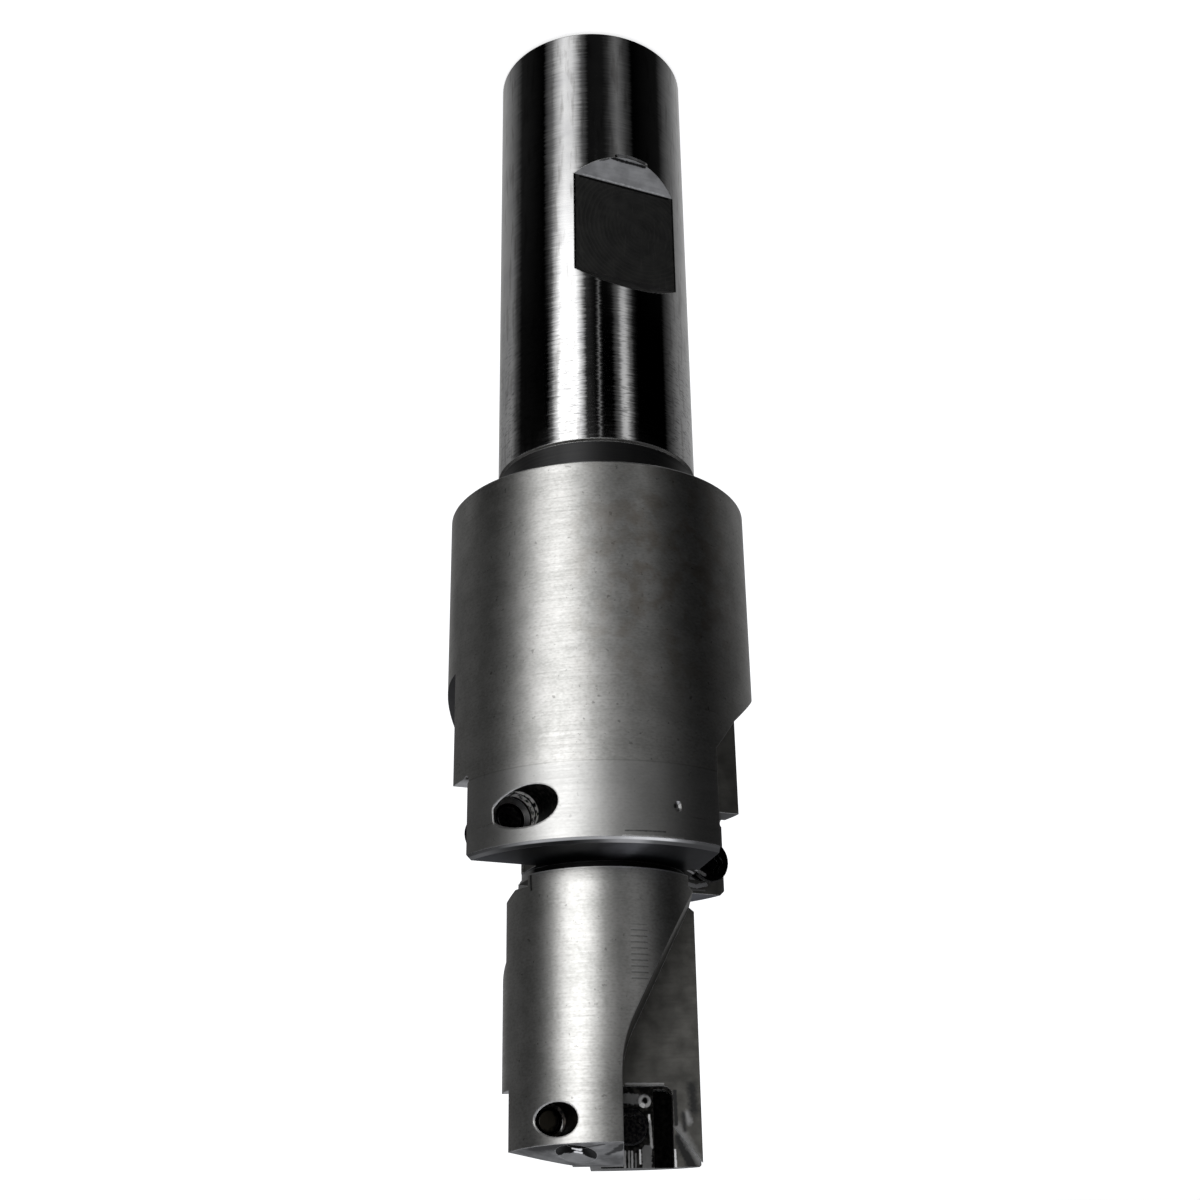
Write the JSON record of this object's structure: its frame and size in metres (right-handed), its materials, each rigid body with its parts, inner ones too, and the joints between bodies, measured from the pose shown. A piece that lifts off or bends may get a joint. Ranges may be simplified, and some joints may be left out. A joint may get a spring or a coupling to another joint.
{
  "type": "indexable drill",
  "caption": "Stepped indexable drill body with a flatted round shank, chip flutes, empty insert pockets and their clamp screws.",
  "frame": {"origin": "centre of the shank's flat end face, on which the tool stands", "axes": "+Z along the tool's axis from the shank to the point; +X outwards along the rake face of the outer drilling station; -Y towards the side with the clamping flat"},
  "size_m": [0.0292, 0.0292, 0.1154],
  "materials": {
    "tool_steel": "polished ground shank, satin nickel-toned body, milled flutes",
    "screw_steel": "black oxide"
  },
  "bodies": {
    "root": {"drill_body": "tool_steel", "step_clamp_screw_1": "screw_steel", "step_clamp_screw_2": "screw_steel", "outer_clamp_screw": "screw_steel", "centre_clamp_screw": "screw_steel"}
  },
  "joints": []
}
